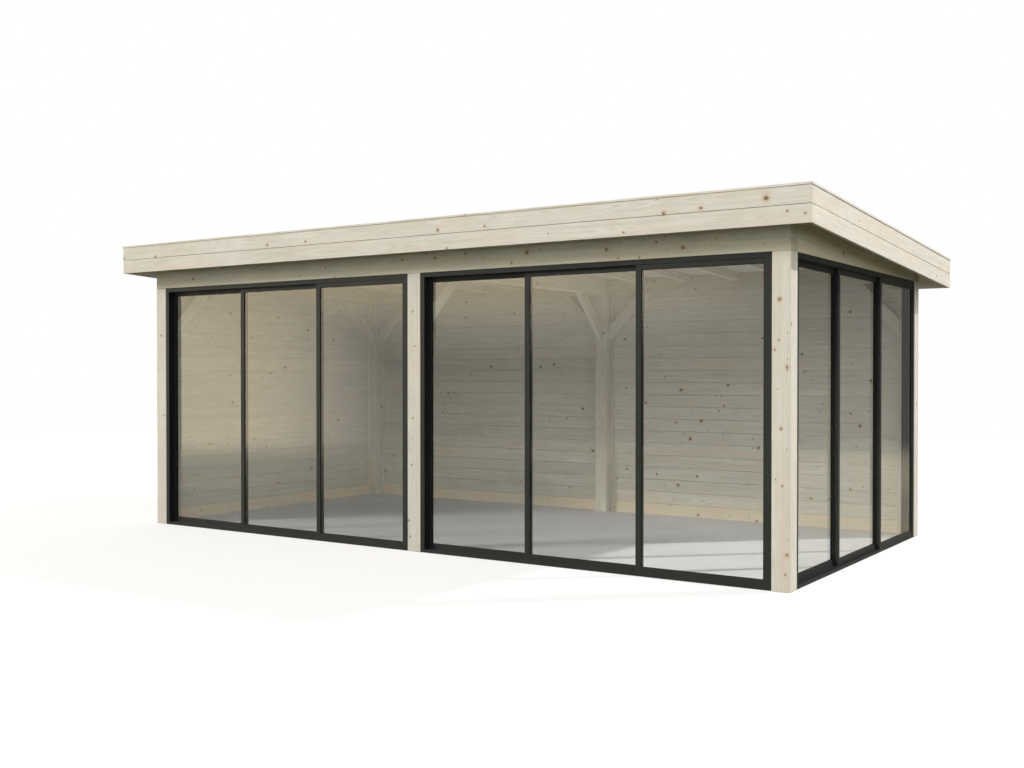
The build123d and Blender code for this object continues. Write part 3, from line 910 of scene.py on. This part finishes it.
# Height is 0 at the horizon and 1 overhead. Facing is 1 towards the bright side.
sky = {
    "colour": "#FFFDF8",
    "light": {"To Min": 1.62, "To Max": 0.25},       # from the horizon up
    "hedge": {"From Max": 0.3, "To Min": 0.65},      # dimmer close to the horizon, which shades the eaves
    "brightSide": (-0.94, -0.34, 0.0),               # towards the glow that the glass mirrors
    "beside": {"From Min": 0.85, "From Max": 0.92},  # facing here, it glows below the horizon too
    "front": {"From Min": 0.55, "From Max": 0.83},   # and here only above it
    "above": {"From Min": 0.0, "From Max": 0.08},
    "mirrored": {"To Min": 0.2, "To Max": 2.8},
    "dim": "#FAF6EE",
    "glow": "#FFECC8",
}


def makeSky():
    # White to the eye; the glass and the metal mirror a warm glow on one side and a dimmer sky elsewhere
    world = bpy.data.worlds.new("studio")
    bpy.context.scene.world = world
    world.use_nodes = True
    tree = world.node_tree
    tree.nodes.clear()
    path = addNode(tree, "ShaderNodeLightPath").outputs
    towards = addNode(tree, "ShaderNodeTexCoord").outputs["Generated"]
    height = addNode(tree, "ShaderNodeSeparateXYZ", links={0: towards}).outputs[2]
    light = addNode(tree, "ShaderNodeMapRange", links={"Value": height, **sky["light"]})
    hedge = addNode(tree, "ShaderNodeMapRange", smooth, {"Value": height, **sky["hedge"]})
    light = addNode(tree, "ShaderNodeMath", {"operation": "MULTIPLY"}, {0: light, 1: hedge})
    soft = addNode(tree, "ShaderNodeBackground", links={"Color": linear(sky["colour"]), "Strength": light})

    facing = addNode(tree, "ShaderNodeVectorMath", {"operation": "DOT_PRODUCT"}, {
        0: towards, 1: sky["brightSide"]}).outputs["Value"]
    beside = addNode(tree, "ShaderNodeMapRange", smooth, {"Value": facing, **sky["beside"]})
    front = addNode(tree, "ShaderNodeMapRange", smooth, {"Value": facing, **sky["front"]})
    above = addNode(tree, "ShaderNodeMapRange", smooth, {"Value": height, **sky["above"]})
    above = addNode(tree, "ShaderNodeMath", {"operation": "MULTIPLY"}, {0: above, 1: front})
    glowing = addNode(tree, "ShaderNodeMath", {"operation": "MAXIMUM"}, {0: beside, 1: above})
    mirrored = addNode(tree, "ShaderNodeMapRange", links={"Value": glowing, **sky["mirrored"]})
    tint = addNode(tree, "ShaderNodeMix", colourMix, {0: glowing, 6: linear(sky["dim"]), 7: linear(sky["glow"])})
    strength = addNode(tree, "ShaderNodeMix", {"data_type": "FLOAT"}, {
        0: path["Is Glossy Ray"], 2: 1.0, 3: mirrored})
    tint = addNode(tree, "ShaderNodeMix", colourMix, {0: path["Is Glossy Ray"], 6: (1, 1, 1, 1), 7: tint})
    white = addNode(tree, "ShaderNodeBackground", links={"Color": tint, "Strength": strength})
    shader = addNode(tree, "ShaderNodeMixShader", links={0: shownRays(tree, path), 1: soft, 2: white})
    addNode(tree, "ShaderNodeOutputWorld", links={"Surface": shader})


# Degrees round from +X and above the ground, strength, colour, and width in degrees
suns = {
    "sunRight": (44, 39, 2.3, "#FFFAF2", 2.0),
    "sunFront": (228, 26.5, 1.55, "#FFF5E6", 14.0),
    "glowRight": (-5, 35, 0.2, "#FFFFFF", 20.0),
}


def makeSun(name, around, above, strength, colour, width):
    light = bpy.data.lights.new(name, "SUN")
    light.energy = strength
    light.color = linear(colour)[:3]
    light.angle = math.radians(width)
    a, e = math.radians(around), math.radians(above)
    towards = Vector((math.cos(a) * math.cos(e), math.sin(a) * math.cos(e), math.sin(e)))
    lamp = bpy.data.objects.new(name, light)
    lamp.rotation_euler = towards.to_track_quat("Z", "Y").to_euler()
    bpy.context.scene.collection.objects.link(lamp)


makeStage()
makeSky()
for name, values in suns.items():
    makeSun(name, *values)

view = {"place": (5.3837, -8.2015, 1.3456), "tilt": 89.404, "turn": 33.803, "lens": 40.276, "sensor": 36.0}
camera = bpy.data.objects.new("camera", bpy.data.cameras.new("camera"))
camera.data.lens = view["lens"]
camera.data.sensor_width = view["sensor"]
camera.location = view["place"]
camera.rotation_euler = (math.radians(view["tilt"]), 0.0, math.radians(view["turn"]))
bpy.context.scene.collection.objects.link(camera)
bpy.context.scene.camera = camera
bpy.context.scene.view_settings.view_transform = "Standard"
print("stage set")
